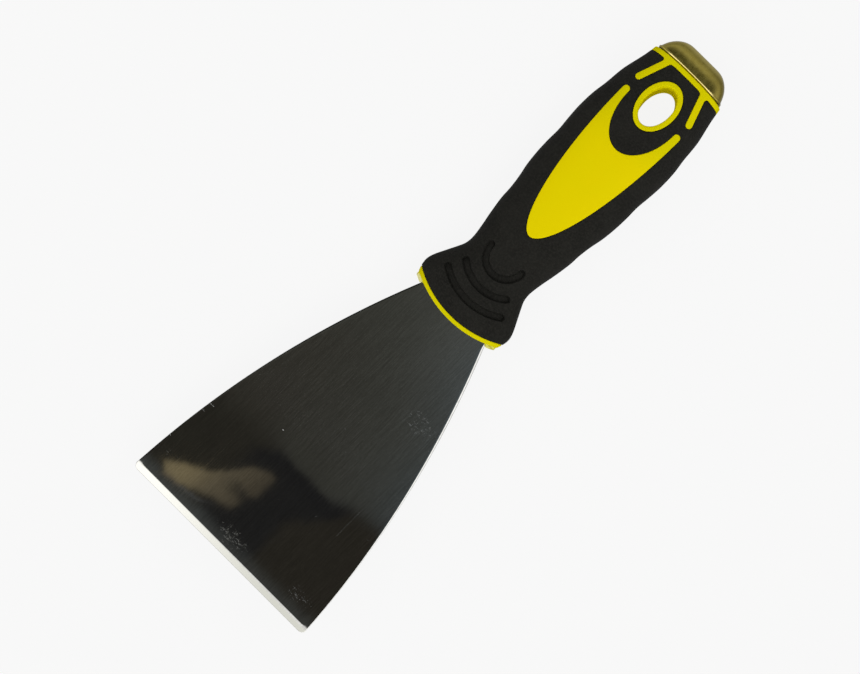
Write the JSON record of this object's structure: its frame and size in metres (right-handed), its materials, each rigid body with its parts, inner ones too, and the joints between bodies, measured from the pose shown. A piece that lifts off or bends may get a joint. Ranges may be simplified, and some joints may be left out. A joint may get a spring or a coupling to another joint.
{
  "type": "filling knife",
  "caption": "Fan-bladed steel filling knife with a two-material handle, hanging hole and pressed hammer cap, for spreading filler and scraping.",
  "frame": {"origin": "middle of the working edge, on the blade's middle plane", "axes": "+Y along the tool from the working edge to the butt, +X across the blade, +Z out of the front face"},
  "size_m": [0.0762, 0.2202, 0.0234],
  "materials": {
    "steel": "stainless spring steel, brushed along the tool, bright at the ground edge",
    "yellow_plastic": "moulded yellow polypropylene, satin",
    "black_rubber": "matte black thermoplastic rubber with a fine texture",
    "brass_plate": "pressed steel with a dull brass plating"
  },
  "bodies": {
    "root": {"blade": "steel", "handle_core": "yellow_plastic", "soft_grip": "black_rubber", "end_cap": "brass_plate"}
  },
  "joints": []
}
